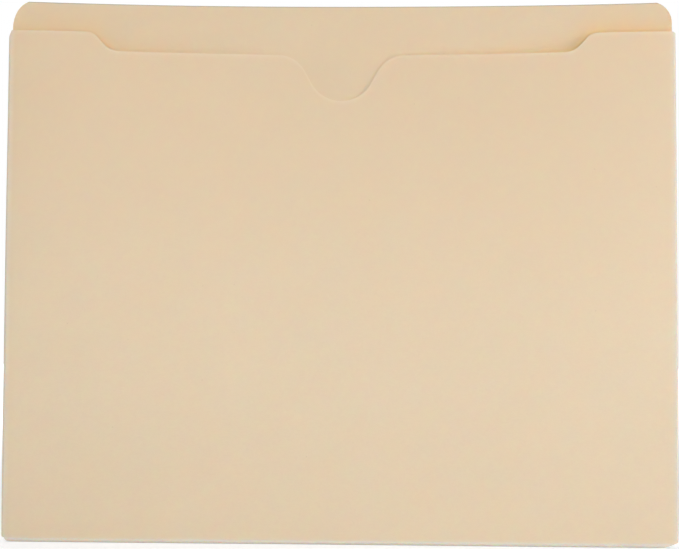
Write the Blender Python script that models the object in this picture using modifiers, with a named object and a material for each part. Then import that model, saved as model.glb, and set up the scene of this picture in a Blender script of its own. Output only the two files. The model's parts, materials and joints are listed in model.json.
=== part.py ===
"""Letter-size file jacket: a manila pocket closed on three sides, with a doubled tab at the back.

The real jacket is one die-cut sheet, creased, folded and glued. It is modelled as the pieces
between its creases, with the glue that holds them. The jacket stands on its bottom fold with the
mouth up: X runs across the width, the front faces -Y and Z is up. The origin is the middle of the
bottom fold's underside. All sizes are in metres.
"""

import math

import bmesh
import bpy

# Overall sizes
JACKET_WIDTH = 0.29845  # over the two side folds, 11 3/4 in
JACKET_HEIGHT = 0.2413  # bottom fold to the top of the tab, 9 1/2 in
POCKET_GAP = 0.0054  # between the front and back panels, relaxed
STOCK = 0.00028  # thickness of the card, 11 point
TOP_CURL = 0.0085  # how far the top corners curl forward of the centre line

# Front panel's top edge, from the sides to the thumb cut
SHOULDER_HEIGHT = 0.2273  # bottom fold to the shoulders
SHOULDER_WIDTH = 0.0352  # from the side fold to the start of the step
STEP_DROP = 0.0085  # shoulder down to the long middle edge
STEP_RUN = 0.0142
STEP_TOP_ROUND = 0.0058
STEP_FOOT_ROUND = 0.0088
THUMB_DEPTH = 0.0209
THUMB_WIDTH = 0.0576  # between the ends of the two lips
THUMB_ROUND = 0.0153  # bottom of the cut
THUMB_LIP_ROUND = 0.0140

# Tab
TAB_CORNER_ROUND = 0.0095
TAB_PLY_HEIGHT = 0.0508  # height of the second ply, 2 in, so that it backs the whole thumb cut

# Folds and flaps
SIDE_FOLD_ROUND = 0.0012  # middle of the card, at each of the two scores
BOTTOM_FOLD_ROUND = 0.0018
CORNER_RELIEF = 0.0060  # how far the bottom fold is cut back at the bottom corners
FLAP_WIDTH = 0.0254
FLAP_TAPER = 0.45  # rise of the slanted flap ends for each unit of width

# Glue
GLUE_FILM = 0.0001
GLUE_LINE_WIDTH = 0.0120  # on each side flap
GLUE_MARGIN = 0.0030  # bare card round the glue

# Clearances
CREASE_GAP = 0.0003  # slit between the pieces on either side of a crease
FILM_CLEARANCE = 0.0001  # on each face of a glue film
EDGE_CLEARANCE = 0.0003  # back panel's side edge to the side fold

# How finely the curved card is divided
BEND_STEPS = 4  # in a quarter turn
ROUND_STEP = math.radians(12)  # along a cut edge
COLUMN_STEP = 0.0100
ROW_STEP = 0.0300

# Finishes
MANILA_COLOUR = (0.79, 0.62, 0.43, 1.0)
MANILA_ROUGHNESS = 0.85
GLUE_COLOUR = (0.82, 0.76, 0.62, 1.0)
GLUE_ROUGHNESS = 0.45

# Worked out from the sizes above
HALF_WIDTH = JACKET_WIDTH / 2
PLY_GAP = GLUE_FILM + 2 * FILM_CLEARANCE
PLY_PITCH = STOCK + PLY_GAP
FRONT_Y = -(POCKET_GAP + STOCK) / 2
BACK_Y = (POCKET_GAP + STOCK) / 2
TAB_PLY_Y = BACK_Y - PLY_PITCH
FLAP_Y = BACK_Y + PLY_PITCH
SIDE_CREASE_X = HALF_WIDTH - STOCK / 2 - SIDE_FOLD_ROUND
BOTTOM_CREASE_Z = STOCK / 2 + BOTTOM_FOLD_ROUND
PANEL_FOOT_Z = BOTTOM_CREASE_Z + CREASE_GAP
TAB_CREASE_Z = JACKET_HEIGHT - STOCK / 2 - PLY_PITCH / 2
TAB_PLY_FOOT_Z = JACKET_HEIGHT - TAB_PLY_HEIGHT


def clear_scene():
    for item in list(bpy.data.objects):
        bpy.data.objects.remove(item, do_unlink=True)


def make_material(name, colour, roughness):
    material = bpy.data.materials.new(name)
    material.use_nodes = True
    shader = material.node_tree.nodes["Principled BSDF"]
    shader.inputs["Base Color"].default_value = colour
    shader.inputs["Roughness"].default_value = roughness
    shader.inputs["Metallic"].default_value = 0.0
    material.diffuse_color = colour
    return material


def curl_at(x, z):
    """Forward shift of the card: none on the centre line and at the bottom, most at the top corners."""
    return -TOP_CURL * (z / JACKET_HEIGHT) * (x / HALF_WIDTH) ** 2


def card_piece(collection, name, columns, rows, place, thickness, material, origin=(0.0, 0.0, 0.0)):
    """One piece of curled card. place(column, row) gives the points of its middle surface, laid flat."""
    sheet = bmesh.new()
    bmesh.ops.create_grid(sheet, x_segments=columns, y_segments=rows, size=0.5)
    for vert in sheet.verts:
        column = round((vert.co.x + 0.5) * columns)
        row = round((vert.co.y + 0.5) * rows)
        x, y, z = place(column, row)
        vert.co = (x - origin[0], y + curl_at(x, z) - origin[1], z - origin[2])
    mesh = bpy.data.meshes.new(name)
    sheet.to_mesh(mesh)
    sheet.free()
    mesh.materials.append(material)
    mesh.shade_smooth()
    piece = bpy.data.objects.new(name, mesh)
    piece.location = origin
    collection.objects.link(piece)
    card = piece.modifiers.new("card", "SOLIDIFY")
    card.thickness = thickness
    card.offset = 0.0
    card.use_even_offset = True
    return piece


def divide(points):
    """The same edge with points added wherever two of them are more than a column apart."""
    divided = [points[0]]
    for (x0, z0), (x1, z1) in zip(points, points[1:]):
        parts = max(1, math.ceil((x1 - x0) / COLUMN_STEP))
        for part in range(1, parts + 1):
            share = part / parts
            divided.append((x0 + (x1 - x0) * share, z0 + (z1 - z0) * share))
    return divided


def arc_points(centre, radius, start, end):
    """Points on an arc, from one angle to the other, both ends included."""
    parts = max(2, math.ceil(abs(end - start) / ROUND_STEP))
    points = []
    for part in range(parts + 1):
        angle = start + (end - start) * part / parts
        points.append((centre[0] + radius * math.cos(angle), centre[1] + radius * math.sin(angle)))
    return points


def ogee(start, end, foot_round, top_round):
    """An edge that leaves start level, climbs through two arcs and a slope, and meets end level."""
    foot = (start[0], start[1] + foot_round)
    top = (end[0], end[1] - top_round)
    bearing = math.atan2(top[1] - foot[1], top[0] - foot[0])
    distance = math.hypot(top[0] - foot[0], top[1] - foot[1])
    slope = bearing + math.asin((foot_round + top_round) / distance)
    quarter = math.pi / 2
    climb = arc_points(foot, foot_round, -quarter, slope - quarter)
    level = arc_points(top, top_round, slope + quarter, quarter)
    return climb + level


def mirrored(right_half):
    """A whole edge from its right half, which starts on the centre line."""
    left_half = [(-x, z) for x, z in reversed(right_half[1:])]
    return left_half + right_half


def front_edge():
    """Top edge of the front panel: thumb cut, long middle edge, steps and shoulders."""
    middle_z = SHOULDER_HEIGHT - STEP_DROP
    shoulder_x = HALF_WIDTH - SHOULDER_WIDTH
    thumb = ogee((0.0, middle_z - THUMB_DEPTH), (THUMB_WIDTH / 2, middle_z), THUMB_ROUND, THUMB_LIP_ROUND)
    step = ogee((shoulder_x - STEP_RUN, middle_z), (shoulder_x, SHOULDER_HEIGHT), STEP_FOOT_ROUND, STEP_TOP_ROUND)
    end = (SIDE_CREASE_X - CREASE_GAP, SHOULDER_HEIGHT)
    return divide(mirrored(thumb + step + [end]))


def back_half_width():
    """The back panel ends just short of the side fold's rear bend, which curves in behind it."""
    inner_round = SIDE_FOLD_ROUND - STOCK / 2
    rise = max(0.0, inner_round - PLY_GAP)
    bend_room = inner_round - math.sqrt(inner_round ** 2 - rise ** 2)
    return HALF_WIDTH - STOCK - bend_room - EDGE_CLEARANCE


def tab_edge():
    """Top edge of both tab plies, level between two rounded corners."""
    top_z = TAB_CREASE_Z - CREASE_GAP
    level_x = back_half_width() - TAB_CORNER_ROUND
    corner = arc_points((level_x, top_z - TAB_CORNER_ROUND), TAB_CORNER_ROUND, math.pi / 2, 0.0)
    return divide(mirrored([(0.0, top_z)] + corner))


def row_count(height):
    """Rows that a sheet of this height is divided into."""
    return max(1, math.ceil(height / ROW_STEP))


def panel(collection, name, edge, foot_z, y, material, origin=(0.0, 0.0, 0.0)):
    """Flat card between a level foot and a shaped top edge."""
    rows = row_count(max(z for x, z in edge) - foot_z)

    def place(column, row):
        x, top_z = edge[column]
        return x, y, foot_z + (top_z - foot_z) * row / rows
    return card_piece(collection, name, len(edge) - 1, rows, place, STOCK, material, origin)


def fold_profile(span, bend):
    """Points across a fold that joins two sheets a span apart: a bend, a flat web and a bend.

    Each point is (across, out, run): its place between the sheets, how far it stands out past the
    creases, and the length of card from the first crease.
    """
    bend = min(bend, span / 2)
    web = span - 2 * bend
    points = []
    for step in range(BEND_STEPS + 1):
        turn = math.pi / 2 * step / BEND_STEPS
        across = -span / 2 + bend * (1 - math.cos(turn))
        points.append((across, bend * math.sin(turn), bend * turn))
    first = 0 if web > STOCK else 1
    for step in range(first, BEND_STEPS + 1):
        turn = math.pi / 2 * step / BEND_STEPS
        across = span / 2 - bend * (1 - math.sin(turn))
        points.append((across, bend * math.cos(turn), bend * (math.pi / 2 + turn) + web))
    return points


def side_fold(collection, side_name, side, material):
    """Channel from the front panel's side round to the flap behind, cut slanting at both ends."""
    profile = fold_profile(FLAP_Y - FRONT_Y, SIDE_FOLD_ROUND)
    middle_y = (FLAP_Y + FRONT_Y) / 2
    rows = row_count(SHOULDER_HEIGHT - PANEL_FOOT_Z)

    def place(column, row):
        across, out, run = profile[column]
        low = PANEL_FOOT_Z + FLAP_TAPER * run
        high = SHOULDER_HEIGHT - FLAP_TAPER * run
        return side * (SIDE_CREASE_X + out), middle_y + across, low + (high - low) * row / rows
    name = side_name + "_side_fold"
    return card_piece(collection, name, len(profile) - 1, rows, place, STOCK, material)


def flap_strip(collection, name, side, near, far, end_margin, y, thickness, material):
    """Strip behind the back panel, from near to far in from the side crease, with slanted ends."""
    fold_run = fold_profile(FLAP_Y - FRONT_Y, SIDE_FOLD_ROUND)[-1][2]
    columns = max(1, math.ceil((far - near) / COLUMN_STEP))
    rows = row_count(SHOULDER_HEIGHT - PANEL_FOOT_Z)

    def place(column, row):
        inward = near + (far - near) * column / columns
        taper = FLAP_TAPER * (fold_run + inward)
        low = PANEL_FOOT_Z + taper + end_margin
        high = SHOULDER_HEIGHT - taper - end_margin
        return side * (SIDE_CREASE_X - inward), y, low + (high - low) * row / rows
    return card_piece(collection, name, columns, rows, place, thickness, material)


def side_flap(collection, side_name, side, manila, glue):
    flap_strip(collection, side_name + "_side_flap", side, CREASE_GAP, FLAP_WIDTH, 0.0, FLAP_Y, STOCK, manila)
    glue_far = FLAP_WIDTH - GLUE_MARGIN
    glue_y = (BACK_Y + FLAP_Y) / 2
    flap_strip(collection, side_name + "_flap_glue", side, glue_far - GLUE_LINE_WIDTH, glue_far, GLUE_MARGIN,
               glue_y, GLUE_FILM, glue)


def bottom_fold(collection, material):
    """Channel under the pocket, cut back to a point at both ends to clear the bottom corners."""
    profile = fold_profile(BACK_Y - FRONT_Y, BOTTOM_FOLD_ROUND)
    length = profile[-1][2]
    columns = math.ceil(JACKET_WIDTH / (2 * COLUMN_STEP))

    def place(column, row):
        across, out, run = profile[row]
        relief = CORNER_RELIEF * (1 - abs(2 * run / length - 1))
        end = SIDE_CREASE_X - CREASE_GAP - relief
        return end * (2 * column / columns - 1), (BACK_Y + FRONT_Y) / 2 + across, BOTTOM_CREASE_Z - out
    return card_piece(collection, "bottom_fold", columns, len(profile) - 1, place, STOCK, material)


def tab_fold(collection, material):
    """Rolled crease along the level part of the tab's top edge."""
    profile = fold_profile(PLY_PITCH, PLY_PITCH / 2)
    end = back_half_width() - TAB_CORNER_ROUND
    columns = math.ceil(2 * end / COLUMN_STEP)

    def place(column, row):
        across, out, _ = profile[row]
        return end * (2 * column / columns - 1), (TAB_PLY_Y + BACK_Y) / 2 + across, TAB_CREASE_Z + out
    return card_piece(collection, "tab_fold", columns, len(profile) - 1, place, STOCK, material)


def tab_glue(collection, material):
    """Film between the two plies, short of their edges and rounded corners."""
    end = back_half_width() - TAB_CORNER_ROUND
    low = TAB_PLY_FOOT_Z + GLUE_MARGIN
    high = TAB_CREASE_Z - CREASE_GAP - GLUE_MARGIN
    columns = math.ceil(2 * end / COLUMN_STEP)
    rows = row_count(high - low)

    def place(column, row):
        x = end * (2 * column / columns - 1)
        return x, (TAB_PLY_Y + BACK_Y) / 2, low + (high - low) * row / rows
    return card_piece(collection, "tab_glue", columns, rows, place, GLUE_FILM, material)


def main():
    clear_scene()
    jacket = bpy.data.collections.new("file_jacket")
    bpy.context.scene.collection.children.link(jacket)
    manila = make_material("manila", MANILA_COLOUR, MANILA_ROUGHNESS)
    glue = make_material("glue", GLUE_COLOUR, GLUE_ROUGHNESS)

    panel(jacket, "back_panel", tab_edge(), PANEL_FOOT_Z, BACK_Y, manila)
    panel(jacket, "tab_ply", tab_edge(), TAB_PLY_FOOT_Z, TAB_PLY_Y, manila)
    tab_fold(jacket, manila)
    tab_glue(jacket, glue)
    bottom_fold(jacket, manila)
    front_hinge = (0.0, FRONT_Y, BOTTOM_CREASE_Z)
    panel(jacket, "front_panel", front_edge(), PANEL_FOOT_Z, FRONT_Y, manila, front_hinge)
    for side_name, side in (("left", -1), ("right", 1)):
        side_fold(jacket, side_name, side, manila)
        side_flap(jacket, side_name, side, manila, glue)


main()
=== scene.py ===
import json
import math

import bpy
import numpy as np
from mathutils import Matrix, Vector


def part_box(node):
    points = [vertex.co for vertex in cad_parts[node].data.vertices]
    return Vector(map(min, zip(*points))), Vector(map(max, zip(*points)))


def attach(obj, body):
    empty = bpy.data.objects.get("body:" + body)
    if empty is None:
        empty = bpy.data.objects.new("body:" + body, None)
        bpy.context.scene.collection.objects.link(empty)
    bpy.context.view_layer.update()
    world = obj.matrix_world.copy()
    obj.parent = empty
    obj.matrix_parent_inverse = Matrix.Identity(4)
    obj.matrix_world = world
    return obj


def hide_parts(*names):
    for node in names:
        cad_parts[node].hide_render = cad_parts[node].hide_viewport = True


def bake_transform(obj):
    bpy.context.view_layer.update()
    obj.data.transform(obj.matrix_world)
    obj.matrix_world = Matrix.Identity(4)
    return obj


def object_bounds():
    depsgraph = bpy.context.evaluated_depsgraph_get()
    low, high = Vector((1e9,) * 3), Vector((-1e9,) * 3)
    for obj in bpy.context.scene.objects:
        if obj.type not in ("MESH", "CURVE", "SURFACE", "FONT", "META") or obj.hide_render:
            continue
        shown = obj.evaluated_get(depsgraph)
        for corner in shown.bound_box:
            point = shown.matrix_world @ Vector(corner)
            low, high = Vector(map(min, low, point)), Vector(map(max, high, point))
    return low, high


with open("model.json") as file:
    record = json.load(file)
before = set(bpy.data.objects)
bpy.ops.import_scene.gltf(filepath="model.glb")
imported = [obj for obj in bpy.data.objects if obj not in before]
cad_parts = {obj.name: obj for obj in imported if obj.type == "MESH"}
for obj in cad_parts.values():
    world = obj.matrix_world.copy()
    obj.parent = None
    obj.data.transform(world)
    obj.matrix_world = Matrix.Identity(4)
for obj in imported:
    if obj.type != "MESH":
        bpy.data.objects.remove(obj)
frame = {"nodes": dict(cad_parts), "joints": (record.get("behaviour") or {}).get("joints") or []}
cadLow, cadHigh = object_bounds()
print("frame:", len(frame["nodes"]), "nodes")

# The jacket is one folded sheet of manila card. Every card piece here is a strip of that sheet between
# two creases, worked out as a middle surface and then given the card's thickness.
card = {
    "stock": 0.00028,             # thickness of the card
    "plyPitch": 0.00058,          # between the middles of two glued plies
    "creaseGap": 0.0003,          # slit the frame leaves at a crease, closed here
    "topCurl": 0.0085,            # how far the top corners come forward of the centre line
    "wave": 0.00016,              # height of the slow unevenness of the sheet
    "waveAcross": (0.033, 0.8),   # each wave's length for one radian, and the angle it starts from
    "waveUp": (0.047, 0.3),
    "waveSlant": (0.029, 2.1),
    "slantRise": 1.7,             # how much height counts in the slanting wave
    "slantShare": 0.6,            # its height beside the crossing waves
    "lean": {"left": 0.0009, "right": 0.0013},   # how far the sides lean in at the top
    "leanEdge": 6,                # how closely the lean keeps to the side edges
    "leanRise": 1.5,              # and to the top
    "webColumns": 5,              # across the flat web of a fold
    "soilFrom": 0.06,             # hand soil and painted shade start at this height
    "soilFull": 0.23,             # and are full from here up
    "sharpAngle": 50,             # degrees between faces from which an edge is sharp
}
sides = {"left": -1, "right": 1}   # which way x runs from the centre line

# places taken from the frame
frontY, creaseZ = frame["joints"][0]["pos_m"][1:]
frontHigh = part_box("front_panel")[1]
halfWidth = cadHigh.x
jacketHeight = cadHigh.z
backY = -frontY
plyY = backY - card["plyPitch"]
flapY = backY + card["plyPitch"]
sideCreaseX = frontHigh.x + card["creaseGap"]
shoulderZ = frontHigh.z
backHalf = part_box("back_panel")[1].x
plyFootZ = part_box("tab_ply")[0].z
tabCreaseZ = jacketHeight - (card["stock"] + card["plyPitch"]) / 2


def ease(t):
    # smooth step from 0 to 1
    t = np.clip(t, 0.0, 1.0)
    return t * t * (3.0 - 2.0 * t)


def near(distance, reach):
    # 1 at an edge, falling evenly to 0 at reach away from it
    return np.clip(1.0 - distance / reach, 0.0, 1.0)


def ripple(place, wave):
    # sine of the place over the wave's length, from its starting angle
    length, start = wave
    return np.sin(place / length + start)


def bySide(x, pair):
    # the pair's left value left of the centre line, otherwise its right one
    return np.where(x < 0.0, pair["left"], pair["right"])


def rowShares(count):
    # even rows, each as its share of the way up
    return np.linspace(0.0, 1.0, count)[:, None]


def sheetShift(x, z):
    # forward curl grows with height and with the square of the distance from the centre line,
    # plus two slow waves that cross and one that slants
    curl = -card["topCurl"] * (z / jacketHeight) * (x / halfWidth) ** 2
    slant = ripple(x + card["slantRise"] * z, card["waveSlant"])
    wave = ripple(x, card["waveAcross"]) * ripple(z, card["waveUp"]) + card["slantShare"] * slant
    return curl + card["wave"] * wave


def sideLean(x, z):
    # the sides come in towards the top, hardly felt away from the edges
    reach = -np.sign(x) * bySide(x, card["lean"])
    rise = np.clip(z / jacketHeight, 0.0, 1.0)
    return reach * (x / halfWidth) ** card["leanEdge"] * rise ** card["leanRise"]


def foldProfile(span, bend, steps):
    # across a fold: a quarter round, a flat web and a quarter round. Gives the share of the way across,
    # how far it stands out past the creases, and the length of card from the first crease
    turn = np.linspace(0.0, math.pi / 2, steps)
    flat = span - 2 * bend
    web = np.linspace(bend, span - bend, card["webColumns"])[1:-1] if flat > 0.0 else np.empty(0)
    rest = turn if flat > 0.0 else turn[1:]
    across = np.concatenate([bend * (1 - np.cos(turn)), web, span - bend * (1 - np.sin(rest))])
    out = np.concatenate([bend * np.sin(turn), np.full(web.shape, bend), bend * np.cos(rest)])
    run = np.concatenate([bend * turn, bend * (math.pi / 2 - 1) + web, bend * (math.pi / 2 + rest) + flat])
    return across / span, out, run


def handled(z):
    # share of hand soil and painted shade: full on the tab, fading out down the panel below the mouth
    return ease((z - card["soilFrom"]) / (card["soilFull"] - card["soilFrom"]))


def cardPiece(name, x, y, z, facing, thickness, materials, **marks):
    # closed piece: the middle surface moved half its thickness out and in along its normal, and a rim round
    # it. marks are shares of wear with a painted reflection, a dark edge line with painted shade, painted
    # warm shade and a painted highlight, one number or one for each point
    mid = np.stack(np.broadcast_arrays(x + sideLean(x, z), y, z), axis=-1)
    rows, cols = mid.shape[:2]
    count = rows * cols
    normal = np.cross(np.gradient(mid, axis=1), np.gradient(mid, axis=0)) * facing
    normal /= np.linalg.norm(normal, axis=-1, keepdims=True)
    half = normal * np.broadcast_to(thickness, (rows, cols))[..., None] / 2
    points = np.concatenate([(mid + half).reshape(-1, 3), (mid - half).reshape(-1, 3)])

    spot = np.arange(count).reshape(rows, cols)
    corners = (spot[:-1, :-1], spot[:-1, 1:], spot[1:, 1:], spot[1:, :-1])
    broad = np.stack(corners, axis=-1).reshape(-1, 4)
    under = broad[:, ::-1] + count
    ring = np.concatenate([spot[0, :-1], spot[:-1, -1], spot[-1, :0:-1], spot[:0:-1, 0]])
    nextRing = np.roll(ring, -1)
    rim = np.stack([nextRing, ring, ring + count, nextRing + count], axis=-1)
    faces = np.concatenate([broad, under, rim])
    if facing < 0:
        faces = faces[:, ::-1]

    mesh = bpy.data.meshes.new(name)
    mesh.from_pydata(points.tolist(), [], faces.tolist())
    # the broad faces take the first material and the rim the second
    finish = np.concatenate([np.zeros(len(broad) * 2, int), np.ones(len(rim), int)])
    mesh.polygons.foreach_set("material_index", finish)
    for material in materials:
        mesh.materials.append(material)
    marks["handSoil"] = handled(mid[..., 2])
    for label in ("foldWear", "edgeGrime", "mouthYellow", "cutPale", "handSoil"):
        layer = mesh.attributes.new(label, "FLOAT", "POINT")
        spread = np.broadcast_to(marks.get(label, 0.0), (rows, cols)).ravel()
        layer.data.foreach_set("value", np.tile(spread, 2).astype(np.float32))
    mesh.shade_smooth()
    mesh.set_sharp_from_angle(angle=math.radians(card["sharpAngle"]))
    piece = bpy.data.objects.new(name, mesh)
    bpy.context.scene.collection.objects.link(piece)
    return piece


def fixToBack(piece, node):
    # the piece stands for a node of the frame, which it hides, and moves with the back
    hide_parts(node)
    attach(piece, "back")


# Nodes that the finishes are put together from

def newGroup(name, inputs, outputs):
    tree = bpy.data.node_groups.new(name, "ShaderNodeTree")
    for label, kind in inputs:
        tree.interface.new_socket(label, in_out="INPUT", socket_type="NodeSocket" + kind)
    for label, kind in outputs:
        tree.interface.new_socket(label, in_out="OUTPUT", socket_type="NodeSocket" + kind)
    return tree, tree.nodes.new("NodeGroupInput"), tree.nodes.new("NodeGroupOutput")


def addNode(tree, kind, links=(), **values):
    # a node with its options set, its plain sockets filled and its other sockets linked
    node = tree.nodes.new("ShaderNode" + kind)
    for key, value in values.items():
        setattr(node, key, value)
    for socket, value in links:
        if isinstance(value, bpy.types.NodeSocket):
            tree.links.new(value, node.inputs[socket])
        else:
            node.inputs[socket].default_value = value
    return node


def mathNode(tree, operation, *values):
    return addNode(tree, "Math", list(enumerate(values)), operation=operation).outputs[0]


def mixColour(tree, factor, a, b):
    # by number, because the Mix node's colour sockets share their labels with its other kinds
    node = addNode(tree, "Mix", [(0, factor), (6, a), (7, b)], data_type="RGBA")
    return node.outputs[2]


def mapRange(tree, value, source, target, kind="LINEAR"):
    # carries the two ends of one range over to the two ends of another
    ends = ("From Min", "From Max", "To Min", "To Max")
    links = [("Value", value), *zip(ends, (*source, *target))]
    return addNode(tree, "MapRange", links, interpolation_type=kind).outputs[0]


def weightedSum(tree, a, shareA, b, shareB):
    # sum of two patterns, each times its share
    partA = mathNode(tree, "MULTIPLY", a, shareA)
    partB = mathNode(tree, "MULTIPLY", b, shareB)
    return mathNode(tree, "ADD", partA, partB)


def markShare(tree, label):
    # share of a mark, as the piece carries it in its mesh
    return addNode(tree, "Attribute", attribute_name=label).outputs["Fac"]


def patchy(tree, share, pattern, patch):
    # share times the sum of a least value and a swing that follows the pattern
    swing, least = patch
    return mathNode(tree, "MULTIPLY", share, mathNode(tree, "MULTIPLY_ADD", pattern, swing, least))


# Pulp of the card, shared by all finishes
grainLook = {
    "cloudDetail": 4.0,
    "cloudRough": 0.6,
    "lay": (0.45, 1.0, 1.0),     # fibres are drawn out across the sheet
    "fibreDetail": 2.0,
    "fibreRough": 0.5,
    "fibreCurl": 1.4,
    "fibreMiddle": 0.5,          # a fibre runs where the noise has this value
    "fibreWidth": 0.12,          # and ends this far from it
    "speckSize": (0.02, 0.06),   # core and rim, as shares of a cell
    "speckRare": 0.82,           # share of the cells that have no speck
    "fibreHeight": 0.6,
    "cloudHeight": 0.4,
}


def cardGrain():
    # slow clouds, short curled fibres lying mostly across the sheet, and rare dark specks
    s = grainLook
    tree, given, result = newGroup(
        "cardGrain",
        [("Place", "Vector"), ("Cloud Scale", "Float"), ("Fibre Scale", "Float"), ("Speck Scale", "Float")],
        [("Cloud", "Float"), ("Fibre", "Float"), ("Speck", "Float"), ("Height", "Float")],
    )
    place = given.outputs["Place"]
    cloud = addNode(tree, "TexNoise", [
        ("Vector", place), ("Scale", given.outputs["Cloud Scale"]),
        ("Detail", s["cloudDetail"]), ("Roughness", s["cloudRough"]),
    ]).outputs["Fac"]
    lay = addNode(tree, "Mapping", [("Vector", place), ("Scale", s["lay"])]).outputs[0]
    strand = addNode(tree, "TexNoise", [
        ("Vector", lay), ("Scale", given.outputs["Fibre Scale"]), ("Detail", s["fibreDetail"]),
        ("Roughness", s["fibreRough"]), ("Distortion", s["fibreCurl"]),
    ]).outputs["Fac"]
    ridge = mathNode(tree, "ABSOLUTE", mathNode(tree, "SUBTRACT", strand, s["fibreMiddle"]))
    fibre = mapRange(tree, ridge, (0.0, s["fibreWidth"]), (1.0, 0.0), "SMOOTHSTEP")
    cell = addNode(tree, "TexVoronoi", [("Vector", place), ("Scale", given.outputs["Speck Scale"])])
    dot = mapRange(tree, cell.outputs["Distance"], s["speckSize"], (1.0, 0.0))
    pick = addNode(tree, "SeparateColor", [("Color", cell.outputs["Color"])]).outputs[0]
    speck = mathNode(tree, "MULTIPLY", dot, mathNode(tree, "GREATER_THAN", pick, s["speckRare"]))
    height = weightedSum(tree, fibre, s["fibreHeight"], cloud, s["cloudHeight"])
    for label, value in (("Cloud", cloud), ("Fibre", fibre), ("Speck", speck), ("Height", height)):
        tree.links.new(value, result.inputs[label])
    return tree


grainGroup = cardGrain()


def grainIn(tree, place, scales):
    # the pulp in one material, at that material's own scales
    labels = ("Cloud Scale", "Fibre Scale", "Speck Scale")
    return addNode(tree, "Group", [("Place", place), *zip(labels, scales)], node_tree=grainGroup)


def startMaterial(name):
    material = bpy.data.materials.new(name)
    material.use_nodes = True
    tree = material.node_tree
    shader = tree.nodes["Principled BSDF"]
    place = addNode(tree, "TexCoord").outputs["Object"]
    return material, tree, shader, place


def addSurface(tree, shader, look, colour, roughBy, heightBy):
    # the colour, a roughness spread by one pattern, and bumps raised by another
    tree.links.new(colour, shader.inputs["Base Color"])
    rough = mathNode(tree, "MULTIPLY_ADD", roughBy, look["roughSpread"], look["rough"])
    tree.links.new(rough, shader.inputs["Roughness"])
    depth = [("Height", heightBy), ("Strength", look["bump"]), ("Distance", look["bumpDepth"])]
    tree.links.new(addNode(tree, "Bump", depth).outputs[0], shader.inputs["Normal"])
    shader.inputs["Specular IOR Level"].default_value = look["shine"]


manilaLook = {
    "grain": (38.0, 620.0, 150.0),   # how fine the clouds, fibres and specks are
    "pale": (0.845, 0.688, 0.500, 1.0),
    "deep": (0.815, 0.653, 0.465, 1.0),
    "cloudTone": 0.65,               # shares of clouds and fibres in the tone
    "fibreTone": 0.35,
    "soiled": (0.792, 0.612, 0.415, 1.0),     # hand soil near the mouth, with painted shade that darkens the tab
    "soilPatch": (0.4, 0.6),         # swing and least value of its patches
    "speck": (0.60, 0.45, 0.29, 1.0),
    "speckTone": 0.4,
    "yellowed": (0.920, 0.615, 0.300, 1.0),   # painted warm shade just inside the mouth
    "cut": (0.870, 0.720, 0.540, 1.0),        # painted highlight along a die-cut edge
    "cutTone": 0.5,
    "worn": (0.845, 0.755, 0.655, 1.0),       # bruised fibres along a fold, made paler and greyer as painted light and a painted reflection of the white floor
    "grimed": (0.500, 0.400, 0.290, 1.0),     # dark line along the rolled top edge, and painted shade on the ply in the thumb cut
    "rubPatch": (0.4, 0.8),          # patches of the fold and edge marks
    "rough": 0.72,
    "roughSpread": 0.12,
    "bump": 0.25,
    "bumpDepth": 0.00006,
    "shine": 0.35,
    "glow": 0.8,                     # light that soaks into the card and comes out warm behind it
    "glowReach": (1.0, 0.55, 0.28),
    "glowScale": 0.00028,
}


def manilaMaterial():
    # the pulp's tone, and over it each mark's colour by its share
    s = manilaLook
    material, tree, shader, place = startMaterial("manilaCard")
    grain = grainIn(tree, place, s["grain"])
    cloud, fibre = grain.outputs["Cloud"], grain.outputs["Fibre"]
    tone = weightedSum(tree, cloud, s["cloudTone"], fibre, s["fibreTone"])
    colour = mixColour(tree, tone, s["deep"], s["pale"])
    # the marks: hand soil with painted shade, specks, painted warm shade in the mouth, a painted highlight
    # along cut edges, fold wear with a painted reflection, and a dark edge line with painted shade
    marks = (
        (patchy(tree, markShare(tree, "handSoil"), cloud, s["soilPatch"]), s["soiled"]),
        (mathNode(tree, "MULTIPLY", grain.outputs["Speck"], s["speckTone"]), s["speck"]),
        (markShare(tree, "mouthYellow"), s["yellowed"]),
        (mathNode(tree, "MULTIPLY", markShare(tree, "cutPale"), s["cutTone"]), s["cut"]),
        (patchy(tree, markShare(tree, "foldWear"), fibre, s["rubPatch"]), s["worn"]),
        (patchy(tree, markShare(tree, "edgeGrime"), cloud, s["rubPatch"]), s["grimed"]),
    )
    for share, tint in marks:
        colour = mixColour(tree, share, colour, tint)
    addSurface(tree, shader, s, colour, fibre, grain.outputs["Height"])
    shader.inputs["Subsurface Weight"].default_value = s["glow"]
    shader.inputs["Subsurface Radius"].default_value = s["glowReach"]
    shader.inputs["Subsurface Scale"].default_value = s["glowScale"]
    return material


edgeLook = {
    "grain": (160.0, 1800.0, 150.0),
    "pale": (0.80, 0.69, 0.54, 1.0),
    "deep": (0.66, 0.53, 0.38, 1.0),
    "rough": 0.82,
    "roughSpread": 0.10,
    "bump": 0.4,
    "bumpDepth": 0.00005,
    "shine": 0.2,
}


def edgeMaterial():
    # sheared fibre ends
    material, tree, shader, place = startMaterial("cutEdge")
    grain = grainIn(tree, place, edgeLook["grain"])
    colour = mixColour(tree, grain.outputs["Fibre"], edgeLook["deep"], edgeLook["pale"])
    addSurface(tree, shader, edgeLook, colour, grain.outputs["Cloud"], grain.outputs["Height"])
    return material


glueLook = {
    "grain": (220.0, 900.0, 400.0),
    "pale": (0.84, 0.78, 0.65, 1.0),
    "deep": (0.74, 0.66, 0.50, 1.0),
    "rough": 0.42,
    "roughSpread": 0.20,
    "bump": 0.3,
    "bumpDepth": 0.00008,
    "shine": 0.5,
}


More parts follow.
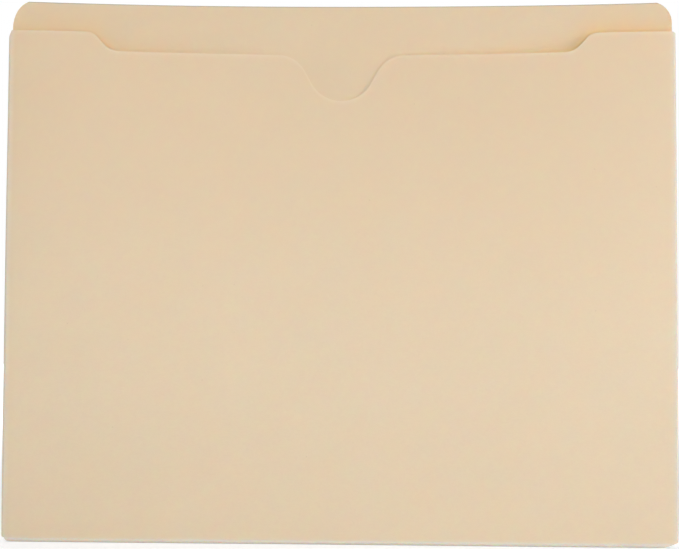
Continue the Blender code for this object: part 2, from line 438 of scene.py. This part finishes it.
def glueMaterial():
    # cloudy film, smoother than the card
    material, tree, shader, place = startMaterial("driedGlue")
    cloud = grainIn(tree, place, glueLook["grain"]).outputs["Cloud"]
    colour = mixColour(tree, cloud, glueLook["deep"], glueLook["pale"])
    addSurface(tree, shader, glueLook, colour, cloud, cloud)
    return material


manila = manilaMaterial()
cutEdge = edgeMaterial()
driedGlue = glueMaterial()
cardFinish = (manila, cutEdge)
print("finishes:", manila.name, cutEdge.name, driedGlue.name)


# Front panel, in two halves that meet at the centre line
frontPanel = {
    "shoulderWidth": 0.0352,
    "stepDrop": 0.0085,
    "stepRun": 0.0142,
    "stepTopRound": 0.0058,
    "stepFootRound": 0.0088,
    "thumbDepth": 0.0209,
    "thumbWidth": 0.0576,
    "thumbRound": 0.0153,
    "thumbLipRound": 0.0140,
    "dent": 0.0044,               # how far the middle of the mouth has settled towards the back
    "dentRise": 2.2,              # how soon above the bottom fold the panel settles
    "dentSpread": 2.5,            # how narrow the settled part is
    "cornerFall": 0.0012,         # how far the top corners have settled
    "cornerReach": 0.0450,
    "creaseFall": 0.0005,         # the panel falls back this much just before its creases
    "creaseReach": 0.0150,
    "wave": 0.00012,              # its own unevenness
    "waveAcross": (0.041, -0.5),
    "waveUp": (0.036, 1.1),
    "waveFade": 0.0300,           # which fades out towards the creases
    "paleReach": 0.0018,          # painted highlight along the cut edge, this far below it
    "wearReach": 0.0012,          # the card is rubbed this far from its creases
    "wearShare": 0.35,
    "columns": (64, 26, 40, 20),  # along the thumb cut, the middle edge, the step and the shoulder
    "rows": 96,
}
middleZ = shoulderZ - frontPanel["stepDrop"]
thumbEnd = frontPanel["thumbWidth"] / 2
stepEnd = halfWidth - frontPanel["shoulderWidth"]
stepStart = stepEnd - frontPanel["stepRun"]


def frontShift(x, z):
    # the sheet's shift, a dent deepest at the middle of the mouth, the settled top corners, a soft
    # fall-back along the creases, and a wave of its own
    s = frontPanel
    level = z / jacketHeight
    fromSide = sideCreaseX - np.abs(x)
    fromFoot = z - creaseZ
    dent = s["dent"] * (1.0 - (1.0 - level) ** s["dentRise"])
    dent = dent * np.clip(1.0 - (x / sideCreaseX) ** 2, 0.0, 1.0) ** s["dentSpread"]
    corner = s["cornerFall"] * level ** 2 * near(fromSide, s["cornerReach"]) ** 2
    fall = s["creaseFall"] * (near(fromSide, s["creaseReach"]) ** 2 + near(fromFoot, s["creaseReach"]) ** 2)
    fade = ease(fromSide / s["waveFade"]) * ease(fromFoot / s["waveFade"])
    wave = ripple(x, s["waveAcross"]) * ripple(z, s["waveUp"])
    return sheetShift(x, z) + dent + corner + fall + s["wave"] * fade * wave


def ogeeHeight(x, start, end, footRound, topRound):
    # height of an edge that leaves start level, climbs through an arc, a slope and an arc, and meets
    # end level
    x0, z0 = start
    x1, z1 = end
    rise = (z1 - topRound) - (z0 + footRound)
    reach = math.hypot(x1 - x0, rise)
    slope = math.atan2(rise, x1 - x0) + math.asin((footRound + topRound) / reach)
    xa = x0 + footRound * math.sin(slope)
    xb = x1 - topRound * math.sin(slope)
    za = z0 + footRound * (1.0 - math.cos(slope))
    climb = z0 + footRound - np.sqrt(np.clip(footRound ** 2 - (x - x0) ** 2, 0.0, None))
    level = z1 - topRound + np.sqrt(np.clip(topRound ** 2 - (x1 - x) ** 2, 0.0, None))
    z = np.where(x < xa, climb, za + (x - xa) * math.tan(slope))
    z = np.where(x > xb, level, z)
    return np.where(x < x0, z0, np.where(x > x1, z1, z))


def frontTop(x):
    # thumb cut, long middle edge, step and shoulder, the same on both sides of the centre line
    s = frontPanel
    across = np.abs(x)
    thumb = ogeeHeight(across, (0.0, middleZ - s["thumbDepth"]), (thumbEnd, middleZ),
                       s["thumbRound"], s["thumbLipRound"])
    step = ogeeHeight(across, (stepStart, middleZ), (stepEnd, shoulderZ),
                      s["stepFootRound"], s["stepTopRound"])
    return np.where(across < thumbEnd, thumb, step)


def frontHalf(sideName, side):
    # columns from the centre line out to the side crease, each rising from the bottom crease to the cut
    # edge, with rows that lie closer at both ends
    s = frontPanel
    stops = (0.0, thumbEnd, stepStart, stepEnd, sideCreaseX)
    stretches = [np.linspace(a, b, columns) for a, b, columns in zip(stops, stops[1:], s["columns"])]
    x = side * np.unique(np.concatenate(stretches))
    rise = 0.5 - 0.5 * np.cos(np.linspace(0.0, math.pi, s["rows"]))[:, None]
    top = frontTop(x)
    z = creaseZ + (top - creaseZ) * rise
    y = frontY + frontShift(x, z)
    wear = np.maximum(near(sideCreaseX - np.abs(x), s["wearReach"]), near(z - creaseZ, s["wearReach"]))
    # wear with a painted reflection near the creases, and a painted highlight below the cut edge
    piece = cardPiece("front_" + sideName, x, y, z, side, card["stock"], cardFinish,
                      foldWear=s["wearShare"] * wear, cutPale=near(top - z, s["paleReach"]))
    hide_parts("front_panel")
    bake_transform(piece)


for sideName, side in sides.items():
    frontHalf(sideName, side)
print("front panel: two halves")


# Back panel with the tab, its second ply and the rolled top edge
tabCut = {
    "cornerRound": 0.0095,
    "cornerDrop": {"left": 1.30, "right": 1.0},   # each round is drawn out this much down its side
    "cornerRise": 0.0003,         # the arcs aim this far above the top edge, so a slight point is left
    "creaseWear": 0.12,           # share of wear just below the top edge
    "wearReach": 0.0010,
    "plyCrush": 0.25,             # share of the thickness left at the ply's cut lower edge
    "crushReach": 0.0016,
    "pressReach": 0.0090,         # the ply's foot lies on the back panel and comes off it over this height
    "plyCrowd": 1.4,              # how much closer the ply's rows lie at its foot
    "thumbSoil": 0.05,            # share of painted shade on the ply below the middle edge, seen in the thumb cut
    "soilRun": 0.0060,            # which comes in over this height
    "yellowReach": 0.0050,        # how far the painted warm shade runs from the front panel's edge
    "yellowLeast": 0.05,          # share of that left where the mouth is shut
    "yellowOpen": 0.0045,         # opening of the mouth at which the painted warm shade is full
    # share of the painted warm shade on each side of the centre line
    "yellowShare": {"left": 0.60, "right": 1.0},
    "rollWear": 0.2,              # shares of wear and of the dark line on the rolled edge
    "rollGrime": 0.7,
    "levelColumns": 120,
    "cornerColumns": 26,
    "rollColumns": 140,
    "rollSteps": 8,
    "rows": 90,
    "plyRows": 60,
}
cornerX = backHalf - tabCut["cornerRound"]
cornerZ = jacketHeight + tabCut["cornerRise"] - tabCut["cornerRound"]


def tabTop(x):
    # level crease line, cut off by a round at each corner that is drawn out down its side
    past = np.clip(np.abs(x) - cornerX, 0.0, tabCut["cornerRound"])
    drop = tabCut["cornerRound"] - np.sqrt(np.clip(tabCut["cornerRound"] ** 2 - past ** 2, 0.0, None))
    drop = drop * bySide(x, tabCut["cornerDrop"])
    return np.minimum(cornerZ + tabCut["cornerRound"] - drop, tabCreaseZ)


def roundReach(z, stretch):
    # how far past the level part the corner's round is at a height near its top
    fall = (cornerZ + tabCut["cornerRound"] - z) / stretch
    return np.sqrt(tabCut["cornerRound"] ** 2 - (tabCut["cornerRound"] - fall) ** 2)


def tabStations():
    # even columns between the corners, closer ones round each corner
    turn = np.linspace(0.0, math.pi / 2, tabCut["cornerColumns"])
    corner = cornerX + tabCut["cornerRound"] * np.sin(turn)
    level = np.linspace(-cornerX, cornerX, tabCut["levelColumns"])
    return np.concatenate([-corner[:0:-1], level, corner[1:]])


def mouthYellow(x, z):
    # painted warm shade on the tab along the front panel's edge, stronger and wider where the mouth stands
    # further open
    edge = frontTop(x)
    openBy = plyY - frontY - card["stock"] + sheetShift(x, edge) - frontShift(x, edge)
    openShare = openBy / tabCut["yellowOpen"]
    reach = tabCut["yellowReach"] * np.clip(openShare, tabCut["yellowLeast"], 1.0)
    share = np.clip(openShare, 0.0, 1.0) * bySide(x, tabCut["yellowShare"])
    return share * np.exp(-np.abs(z - edge) / reach)


def tabSheet(name, node, footZ, rise, y, thickness, inMouth):
    # flat card from its foot up to the tab's top edge; rise is each row's share of the way up, and
    # inMouth the share of the painted shade and painted warm shade in the mouth that the sheet takes
    x = tabStations()
    z = footZ + (tabTop(x) - footZ) * rise
    wear = near(tabCreaseZ - z, tabCut["wearReach"])
    # painted shade on the ply below the middle edge, and painted warm shade along the mouth
    thumbed = tabCut["thumbSoil"] * ease((middleZ - z) / tabCut["soilRun"])
    piece = cardPiece(name, x, y + sheetShift(x, z), z, 1, thickness, cardFinish,
                      foldWear=tabCut["creaseWear"] * wear, edgeGrime=inMouth * thumbed,
                      mouthYellow=inMouth * mouthYellow(x, z))
    fixToBack(piece, node)


def backSheet():
    # even rows from the bottom crease to the top edge
    tabSheet("back_sheet", "back_panel", creaseZ, rowShares(tabCut["rows"]), backY, card["stock"], 0.0)


def frontPly():
    # the ply's lower edge is crushed thin by the die and pressed onto the back panel, rows closer there
    rise = rowShares(tabCut["plyRows"]) ** tabCut["plyCrowd"]
    up = rise * (tabCreaseZ - plyFootZ)
    kept = tabCut["plyCrush"] + (1.0 - tabCut["plyCrush"]) * ease(up / tabCut["crushReach"])
    thin = card["stock"] * kept
    press = (card["plyPitch"] - card["stock"]) * (1.0 - ease(up / tabCut["pressReach"]))
    press = press + (card["stock"] - thin) / 2
    tabSheet("tab_front_ply", "tab_ply", plyFootZ, rise, plyY + press, thin, 1.0)


def tabRoll():
    # half round from the front ply over to the back panel, its ends cut by the corner arcs
    share, out = foldProfile(card["plyPitch"], card["plyPitch"] / 2, tabCut["rollSteps"])[:2]
    z = (tabCreaseZ + out)[:, None]
    leftEnd = -cornerX - roundReach(z, tabCut["cornerDrop"]["left"])
    rightEnd = cornerX + roundReach(z, tabCut["cornerDrop"]["right"])
    x = leftEnd + (rightEnd - leftEnd) * np.linspace(0.0, 1.0, tabCut["rollColumns"])
    y = plyY + share[:, None] * card["plyPitch"] + sheetShift(x, z)
    piece = cardPiece("top_roll", x, y, z, 1, card["stock"], cardFinish,
                      foldWear=tabCut["rollWear"], edgeGrime=tabCut["rollGrime"])
    fixToBack(piece, "tab_fold")


backSheet()
frontPly()
tabRoll()
print("back panel and tab")


# Folds along the bottom and the two sides, with the flaps behind
foldCut = {
    "bottomBend": 0.0018,
    "sideBend": 0.0012,
    "relief": {"left": 0.0022, "right": 0.0090},   # the bottom fold is cut back this far at its middle
    "nick": {"left": 0.0029, "right": 0.0},        # a shoulder's end is cut this much lower at its crease
    "nickRun": 0.0010,
    "flapTaper": 0.45,            # how fast a side strip's ends slant in
    "flapWidth": 0.0254,
    "flapLift": 0.00022,          # of the flap's free edge, past its glue
    "liftFrom": 0.0225,           # starting this far across the flap
    "liftRun": 0.0029,
    "bottomWear": 1.0,            # shares of wear, with painted light and a painted reflection of the white floor
    "sideWear": 0.5,
    "bottomColumns": 150,
    "flapColumns": 24,
    "steps": 9,
    "rows": 96,
}
sideProfile = foldProfile(flapY - frontY, foldCut["sideBend"], foldCut["steps"])
flapStart = sideProfile[2][-1]   # length of card from the front crease to the flap


def bottomFold():
    # bend, web and bend carried across the width, cut to a point at both ends
    share, out, run = foldProfile(backY - frontY, foldCut["bottomBend"], foldCut["steps"])
    point = 1.0 - np.abs(2.0 * run / run[-1] - 1.0)
    leftEnd = foldCut["relief"]["left"] * point - sideCreaseX
    rightEnd = sideCreaseX - foldCut["relief"]["right"] * point
    along = np.linspace(0.0, 1.0, foldCut["bottomColumns"])
    x = leftEnd[:, None] + (rightEnd - leftEnd)[:, None] * along
    z = (creaseZ - out)[:, None]
    front = frontY + frontShift(x, creaseZ)
    back = backY + sheetShift(x, creaseZ)
    y = front + (back - front) * share[:, None]
    # the full pale fold colour: wear, with painted light and a painted reflection of the white floor on the
    # underside
    piece = cardPiece("bottom_roll", x, y, z, -1, card["stock"], cardFinish, foldWear=foldCut["bottomWear"])
    fixToBack(piece, "bottom_fold")


def sideEnds(sideName, run):
    # foot and top of a side strip, both slanting in with the length of card from the front crease
    low = creaseZ + foldCut["flapTaper"] * run
    nick = foldCut["nick"][sideName] * (1.0 - np.exp(-run / foldCut["nickRun"]))
    high = shoulderZ - foldCut["flapTaper"] * run - nick
    return low, high


def sideFold(sideName, side):
    # bend, web and bend from the front panel round to the flap
    share, out, run = sideProfile
    low, high = sideEnds(sideName, run)
    z = low + (high - low) * rowShares(foldCut["rows"])
    x = side * (sideCreaseX + out)
    front = frontY + frontShift(side * sideCreaseX, z)
    back = flapY + sheetShift(side * sideCreaseX, z)
    y = front + (back - front) * share
    # wear along the fold's first bend, with a painted reflection of the white floor
    wear = foldCut["sideWear"] * (1.0 - ease((run - foldCut["sideBend"]) / foldCut["sideBend"]))
    piece = cardPiece(sideName + "_side_roll", x, y, z, side, card["stock"], cardFinish, foldWear=wear)
    fixToBack(piece, sideName + "_side_fold")


def sideFlap(sideName, side):
    # flat strip behind the back panel, its free edge lifting a little
    inward = np.linspace(0.0, foldCut["flapWidth"], foldCut["flapColumns"])
    low, high = sideEnds(sideName, flapStart + inward)
    z = low + (high - low) * rowShares(foldCut["rows"])
    x = side * (sideCreaseX - inward)
    lift = foldCut["flapLift"] * ease((inward - foldCut["liftFrom"]) / foldCut["liftRun"])
    y = flapY + sheetShift(x, z) + lift
    piece = cardPiece(sideName + "_flap", x, y, z, side, card["stock"], cardFinish)
    fixToBack(piece, sideName + "_side_flap")


bottomFold()
for sideName, side in sides.items():
    sideFold(sideName, side)
    sideFlap(sideName, side)
print("folds and flaps")


# Dried glue between the plies
glueCut = {
    "film": 0.0001,
    "lineWidth": 0.0120,
    "margin": 0.0030,   # bare card left round the glue
    "tabColumns": 120,
    "tabRows": 8,
    "lineColumns": 10,
    "lineRows": 60,
}


def gluePiece(name, node, x, y, z, facing):
    piece = cardPiece(name, x, y, z, facing, glueCut["film"], (driedGlue, driedGlue))
    fixToBack(piece, node)


def tabGlue():
    # level film halfway between the tab's two plies
    x = np.linspace(-cornerX, cornerX, glueCut["tabColumns"])
    low, high = plyFootZ + glueCut["margin"], tabCreaseZ - glueCut["margin"]
    z = np.linspace(low, high, glueCut["tabRows"])[:, None]
    gluePiece("tab_glue_film", "tab_glue", x, (plyY + backY) / 2 + sheetShift(x, z), z, 1)


def flapGlue(sideName, side):
    # upright line halfway between the flap and the back panel
    far = foldCut["flapWidth"] - glueCut["margin"]
    inward = np.linspace(far - glueCut["lineWidth"], far, glueCut["lineColumns"])
    low, high = sideEnds(sideName, flapStart + inward)
    z = low + glueCut["margin"] + (high - low - 2 * glueCut["margin"]) * rowShares(glueCut["lineRows"])
    x = side * (sideCreaseX - inward)
    y = (backY + flapY) / 2 + sheetShift(x, z)
    gluePiece(sideName + "_glue_line", sideName + "_flap_glue", x, y, z, side)


tabGlue()
for sideName, side in sides.items():
    flapGlue(sideName, side)
print("glue")


# Camera at the photograph's viewpoint
camera = {
    "place": (0.01037, -0.5432, 0.08911),
    "yaw": -1.110,       # degrees to the right of straight ahead
    "pitch": 3.188,      # degrees up
    "roll": 0.392,       # degrees that its right side is raised
    "focal": 1217.4,     # in pixels
    "picture": 679,      # the picture's width in pixels
    "sensor": 36.0,
    "clipStart": 0.01,
}


def addCamera():
    # looks ahead along its yaw and pitch, and is then rolled about that line
    yaw, pitch, roll = (math.radians(camera[key]) for key in ("yaw", "pitch", "roll"))
    ahead = Vector((math.sin(yaw) * math.cos(pitch), math.cos(yaw) * math.cos(pitch), math.sin(pitch)))
    right = Vector((math.cos(yaw), -math.sin(yaw), 0.0))
    up = right.cross(ahead)
    tiltRight = right * math.cos(roll) + up * math.sin(roll)
    tiltUp = up * math.cos(roll) - right * math.sin(roll)
    data = bpy.data.cameras.new("camera")
    data.sensor_width = camera["sensor"]
    data.lens = camera["focal"] / camera["picture"] * camera["sensor"]
    data.clip_start = camera["clipStart"]
    item = bpy.data.objects.new("camera", data)
    turn = Matrix((tiltRight, tiltUp, -ahead)).transposed().to_4x4()
    item.matrix_world = Matrix.Translation(camera["place"]) @ turn
    bpy.context.scene.collection.objects.link(item)
    bpy.context.scene.camera = item


addCamera()
print("camera")


# Floor, world and lamps
studio = {
    "white": (1.0, 1.0, 1.0, 1.0),   # the backdrop, as the camera sees it
    "floorSize": 8.0,
    "floorColour": (0.65, 0.65, 0.65, 1.0),
    "floorRough": 0.9,
    "floorLift": (0.65, 0.56),       # brings the lit floor in front and behind up to about white
    "liftRange": (-0.10, 0.10),      # from front to behind
    "floorFade": (0.35, 0.85),       # across this ring the floor turns into the white of the backdrop
    "skyFront": (0.240, 0.255, 0.303, 1.0),   # cool from the front half
    "skyBack": (1.50, 1.42, 1.30, 1.0),       # fuller and warmer from straight behind
}
lamps = {
    "front": {   # nearly neutral, from behind the lens, so that its own shadows stay hidden
        "place": (0.03, -0.85, 0.06),
        "aim": (0.0, 0.0, 0.11),
        "size": (0.35, 0.11),
        "power": 3.99,
        "colour": (0.978, 1.0, 0.939),
    },
    "right": {   # cool and broad, for the shadows in the mouth
        "place": (0.75, -0.40, 0.14),
        "aim": (0.0, 0.0, 0.11),
        "size": (0.60, 0.60),
        "power": 2.83,
        "colour": (0.78, 0.845, 1.0),
    },
}


def seenDirectly(tree):
    # 1 for what the camera sees itself or in a reflection or through glass, otherwise 0
    path = addNode(tree, "LightPath")
    seen = mathNode(tree, "MAXIMUM", path.outputs["Is Camera Ray"], path.outputs["Is Glossy Ray"])
    return mathNode(tree, "MAXIMUM", seen, path.outputs["Is Transmission Ray"])


def addFloor():
    # a square whose lit colour is lifted to white where it is seen directly
    half = studio["floorSize"] / 2
    mesh = bpy.data.meshes.new("floor")
    corners = [(-half, -half, 0.0), (half, -half, 0.0), (half, half, 0.0), (-half, half, 0.0)]
    mesh.from_pydata(corners, [], [(0, 1, 2, 3)])
    floor = bpy.data.objects.new("floor", mesh)
    bpy.context.scene.collection.objects.link(floor)
    material, tree, shader, place = startMaterial("palePaperFloor")
    shader.inputs["Base Color"].default_value = studio["floorColour"]
    shader.inputs["Roughness"].default_value = studio["floorRough"]
    shader.inputs["Specular IOR Level"].default_value = 0.0
    away = addNode(tree, "VectorMath", [(0, place)], operation="LENGTH").outputs["Value"]
    behind = addNode(tree, "SeparateXYZ", [(0, place)]).outputs["Y"]
    lift = mapRange(tree, behind, studio["liftRange"], studio["floorLift"])
    lift = mapRange(tree, away, studio["floorFade"], (lift, 1.0))
    shader.inputs["Emission Color"].default_value = studio["white"]
    tree.links.new(mathNode(tree, "MULTIPLY", seenDirectly(tree), lift), shader.inputs["Emission Strength"])
    mesh.materials.append(material)


def addWorld():
    # white to the camera and in reflections; as light, its colour goes from skyFront to skyBack with the
    # direction's lean to the back
    world = bpy.data.worlds.new("studio")
    bpy.context.scene.world = world
    world.use_nodes = True
    tree = world.node_tree
    towards = addNode(tree, "TexCoord").outputs["Generated"]
    lean = addNode(tree, "SeparateXYZ", [(0, towards)]).outputs["Y"]
    light = mixColour(tree, mathNode(tree, "MAXIMUM", lean, 0.0), studio["skyFront"], studio["skyBack"])
    colour = mixColour(tree, seenDirectly(tree), light, studio["white"])
    tree.links.new(colour, tree.nodes["Background"].inputs["Color"])


def addLamp(name, look):
    data = bpy.data.lights.new(name, "AREA")
    data.shape = "RECTANGLE"
    data.size, data.size_y = look["size"]
    data.energy = look["power"]
    data.color = look["colour"]
    lamp = bpy.data.objects.new(name, data)
    place = Vector(look["place"])
    lamp.location = place
    lamp.rotation_euler = (Vector(look["aim"]) - place).to_track_quat("-Z", "Y").to_euler()
    bpy.context.scene.collection.objects.link(lamp)


addFloor()
addWorld()
for name, look in lamps.items():
    addLamp(name, look)
bpy.context.scene.view_settings.view_transform = "Standard"
print("studio")
